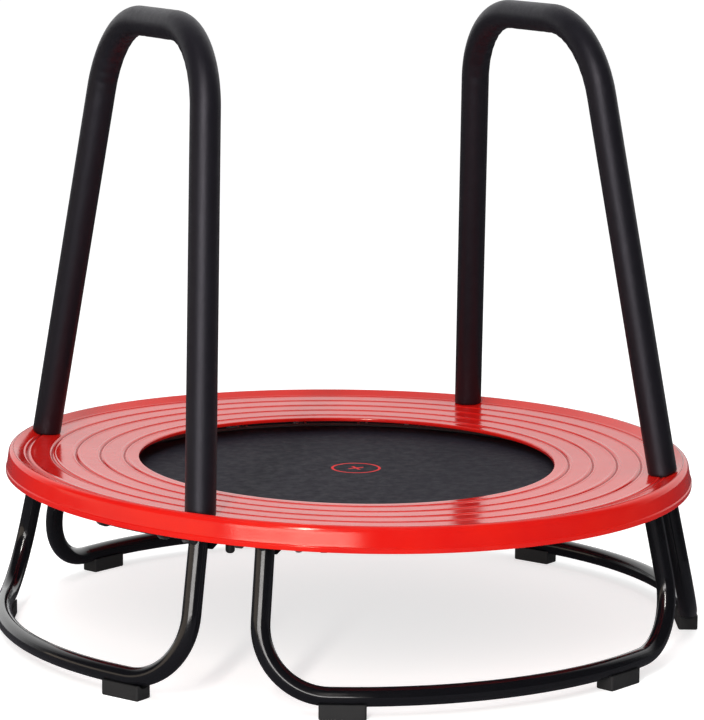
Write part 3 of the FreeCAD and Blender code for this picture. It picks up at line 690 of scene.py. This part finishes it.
# the mat's top lies this far under the CAD mat's at its edge and at its centre
MAT_EDGE_DROP = 0.0004
MAT_CENTRE_DROP = 0.0016


def make_mat():
    """Woven disc under tension: faint rings near the edge and a pucker at each strap."""
    rows, columns = 90, 288
    thick = MAT_THICK * 0.7
    top, bottom = [], []
    for row in range(1, rows + 1):
        share = (row / rows) ** 0.8
        radius = MAT_R * share
        edge = max(0.0, (radius / MAT_R - 0.55) / 0.45)
        for column in range(columns):
            angle = 2 * math.pi * column / columns
            pucker = 0.0006 * edge ** 3 * math.cos(STRAPS * angle)
            swell = 0.0005 * edge * math.sin(3 * angle + 0.7) * math.sin(radius * 95)
            dip = -0.0012 * (1 - share ** 2)
            height = MAT_Z + pucker + swell + dip - MAT_EDGE_DROP
            top.append((radius * math.cos(angle), radius * math.sin(angle), height))
            bottom.append((radius * math.cos(angle), radius * math.sin(angle), height - thick))
    centre = len(top)
    middle = MAT_Z - MAT_CENTRE_DROP
    vertices = top + [(0, 0, middle)] + bottom + [(0, 0, middle - thick)]
    offset = centre + 1
    faces = []
    for layer, flip in ((0, False), (offset, True)):
        for column in range(columns):
            right = (column + 1) % columns
            fan = (layer + centre, layer + column, layer + right)
            faces.append(tuple(reversed(fan)) if flip else fan)
            for row in range(rows - 1):
                a, b = layer + row * columns + column, layer + row * columns + right
                quad = (a, a + columns, b + columns, b)
                faces.append(tuple(reversed(quad)) if flip else quad)
    rim = (rows - 1) * columns
    for column in range(columns):
        right = (column + 1) % columns
        faces.append((rim + column, offset + rim + column, offset + rim + right, rim + right))
    piece = outward(make_object("jump_mat", vertices, faces, MAT))
    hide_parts("mat")
    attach(piece, "mat")


# ------------------------------------------------------------------ elastic straps

STRAP_WIDTH = 0.008
STRAP_THICK = 0.0028
LINK_WIRE_R = 0.0014
# section of a strap with its edges eased, in half widths and half thicknesses
STRAP_SECTION = ((1, 0.6), (0.85, 1), (-0.85, 1), (-1, 0.6),
                 (-1, -0.6), (-0.85, -1), (0.85, -1), (1, -0.6))


def make_strap(index):
    """Strap looped round the frame tube and through its link, with a run of two layers between."""
    level = (MAT_LOW.z + MAT_HIGH.z) / 2
    angle = 2 * math.pi * index / STRAPS
    ring = Vector((RING_R, 0, RING_Z))
    link = Vector((LINK_R - LINK_WIRE_R, 0, level))
    loop_r = TUBE_R + 0.0002 + STRAP_THICK / 2
    small_r = LINK_WIRE_R + 0.0004 + STRAP_THICK / 2
    inward = link - ring
    slant = math.atan2(inward.z, inward.x)
    path = []
    start_gap = math.asin(min(0.9, 1.1 * STRAP_THICK / loop_r))
    for step in range(33):
        turn = slant + start_gap + (2 * math.pi - 2 * start_gap) * step / 32
        path.append(ring + Vector((math.cos(turn), 0, math.sin(turn))) * loop_r)
    for step in range(17):
        turn = slant + math.pi + 0.35 + (2 * math.pi - 0.7) * step / 16
        path.append(link + Vector((math.cos(turn), 0, math.sin(turn))) * small_r)
    path.append(path[0])
    points = []
    for before, after in zip(path, path[1:]):
        points += divided(before, after, 0.006)[:-1]
    turn = Matrix.Rotation(angle, 3, "Z")
    rings = []
    for point, _, across, up in path_frames(points + [points[0]], Vector((0, 1, 0)))[:-1]:
        rings.append([turn @ (point + across * STRAP_WIDTH / 2 * u + up * STRAP_THICK / 2 * v)
                      for u, v in STRAP_SECTION])
    vertices, faces = loft(rings, closed_path=True)
    piece = outward(make_object("elastic_strap_%02d" % index, vertices, faces, ELASTIC))
    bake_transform(piece)
    return piece


def make_straps():
    for index in range(STRAPS):
        piece = make_strap(index)
        if index == 0:
            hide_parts("elastic_straps")


# ------------------------------------------------------------------ materials on carried-over CAD nodes

# by the start of the node's name; the first that fits is used, so leg_plates comes before leg_
NODE_MATERIALS = {
    "frame_ring_": COAT,
    "leg_plates": COAT,
    "leg_plugs": PLASTIC,
    "leg_bolts": OXIDE,
    "leg_nuts": ZINC,
    "leg_": COAT,
    "handle_tube_": COAT,
    "ring_sleeve_": STEEL,
    "foot_screws": ZINC,
    "foot_": RUBBER,
    "joint_caps": PLASTIC,
    "joint_bolts": OXIDE,
    "cover_screws": ZINC,
    "mat_hem": WEBBING,
    "mat_links": ZINC,
}


def paint_nodes():
    for name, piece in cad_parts.items():
        for start, material in NODE_MATERIALS.items():
            if name.startswith(start):
                piece.data.materials.clear()
                piece.data.materials.append(material)
                break


# ------------------------------------------------------------------ studio

FLOOR_HALF = 40


def make_floor():
    """Large floor sheet at height 0."""
    corners = [(x * FLOOR_HALF, y * FLOOR_HALF, 0) for x, y in ((-1, -1), (1, -1), (1, 1), (-1, 1))]
    piece = make_object("studio_floor_sheet", corners, [(0, 1, 2, 3)], floor_paint(), smooth=False)


LIGHT_TARGET = Vector((0, 0, 0.35))


def add_area(name, azimuth, elevation, distance, size, power, colour=(1, 1, 1)):
    """Rectangular light aimed at the object, its azimuth in degrees right of the camera's."""
    light = bpy.data.lights.new(name, "AREA")
    light.shape = "RECTANGLE"
    light.size, light.size_y = size
    light.energy = power
    light.color = colour
    lamp = bpy.data.objects.new(name, light)
    lamp.visible_camera = False
    a, e = math.radians(azimuth), math.radians(elevation)
    back = (RIGHTWARD * math.sin(a) - AWAY * math.cos(a)) * math.cos(e) + Vector((0, 0, math.sin(e)))
    lamp.location = LIGHT_TARGET + back * distance
    lamp.rotation_euler = back.to_track_quat("Z", "Y").to_euler()
    COLLECTION.objects.link(lamp)
    return lamp


def make_world():
    """Even white light; gloss sees a white backdrop beyond the object and a dim room before it."""
    world = bpy.data.worlds.new("studio")
    world.use_nodes = True
    nodes, links = world.node_tree.nodes, world.node_tree.links
    direction = nodes.new("ShaderNodeTexCoord")
    facing = nodes.new("ShaderNodeVectorMath")
    facing.operation = "DOT_PRODUCT"
    facing.inputs[1].default_value = AWAY
    links.new(direction.outputs["Generated"], facing.inputs[0])
    ramp = nodes.new("ShaderNodeMapRange")
    ramp.interpolation_type = "SMOOTHSTEP"
    for name, number in (("From Min", 0.25), ("From Max", 0.8), ("To Min", 0.02), ("To Max", 1.0)):
        ramp.inputs[name].default_value = number
    links.new(facing.outputs["Value"], ramp.inputs["Value"])
    path = nodes.new("ShaderNodeLightPath")
    seen, gloss = nodes.new("ShaderNodeMix"), nodes.new("ShaderNodeMix")
    links.new(path.outputs["Is Camera Ray"], seen.inputs["Factor"])
    seen.inputs["A"].default_value = 0.54
    seen.inputs["B"].default_value = 1.05
    links.new(path.outputs["Is Glossy Ray"], gloss.inputs["Factor"])
    links.new(seen.outputs["Result"], gloss.inputs["A"])
    links.new(ramp.outputs["Result"], gloss.inputs["B"])
    links.new(gloss.outputs["Result"], nodes["Background"].inputs["Strength"])
    nodes["Background"].inputs["Color"].default_value = (1, 1, 1, 1)
    bpy.context.scene.world = world


def make_lights():
    """A low wide window and a tall strip, both left of the camera, a warm side light and a top light."""
    add_area("window_box", -16, 5, 4.0, (2.7, 0.5), 30, (1.0, 0.97, 0.95))
    add_area("strip_box", -13, 28, 4.0, (0.24, 1.9), 74, (1.0, 0.95, 0.9))
    add_area("side_box", -72, 3, 3.6, (4.6, 0.8), 9, (1.0, 0.84, 0.68))
    top = add_area("top_box", -20, 78, 2.8, (2.6, 2.6), 60)
    top.visible_glossy = False


# angles in degrees, lengths in metres, the lens in millimetres
CAMERA_TILT = 9.557
CAMERA_ROLL = 0.481
CAMERA_DISTANCE = 3.9368
CAMERA_HEIGHT = 1.0212
CAMERA_PAN = 0.086
FOCAL_LENGTH = 149.8


def make_camera():
    """Camera at the photograph's angle."""
    data = bpy.data.cameras.new("camera")
    data.sensor_width = 36
    data.lens = FOCAL_LENGTH
    data.clip_end = 200
    camera = bpy.data.objects.new("camera", data)
    pan, tilt, roll = (math.radians(angle) for angle in (CAMERA_PAN, CAMERA_TILT, CAMERA_ROLL))
    ahead = RIGHTWARD * math.sin(pan) + AWAY * math.cos(pan)
    forward = ahead * math.cos(tilt) - Vector((0, 0, math.sin(tilt)))
    level = RIGHTWARD * math.cos(pan) - AWAY * math.sin(pan)
    up = level.cross(forward)
    rolled = level * math.cos(roll) + up * math.sin(roll)
    upright = up * math.cos(roll) - level * math.sin(roll)
    matrix = Matrix((rolled, upright, -forward)).transposed().to_4x4()
    matrix.translation = -AWAY * CAMERA_DISTANCE + Vector((0, 0, CAMERA_HEIGHT))
    camera.matrix_world = matrix
    COLLECTION.objects.link(camera)
    bpy.context.scene.camera = camera


make_camera()
make_cover()
make_grips()
make_mat()
make_straps()
paint_nodes()
make_floor()
make_world()
make_lights()
bpy.context.scene.view_settings.view_transform = "Standard"
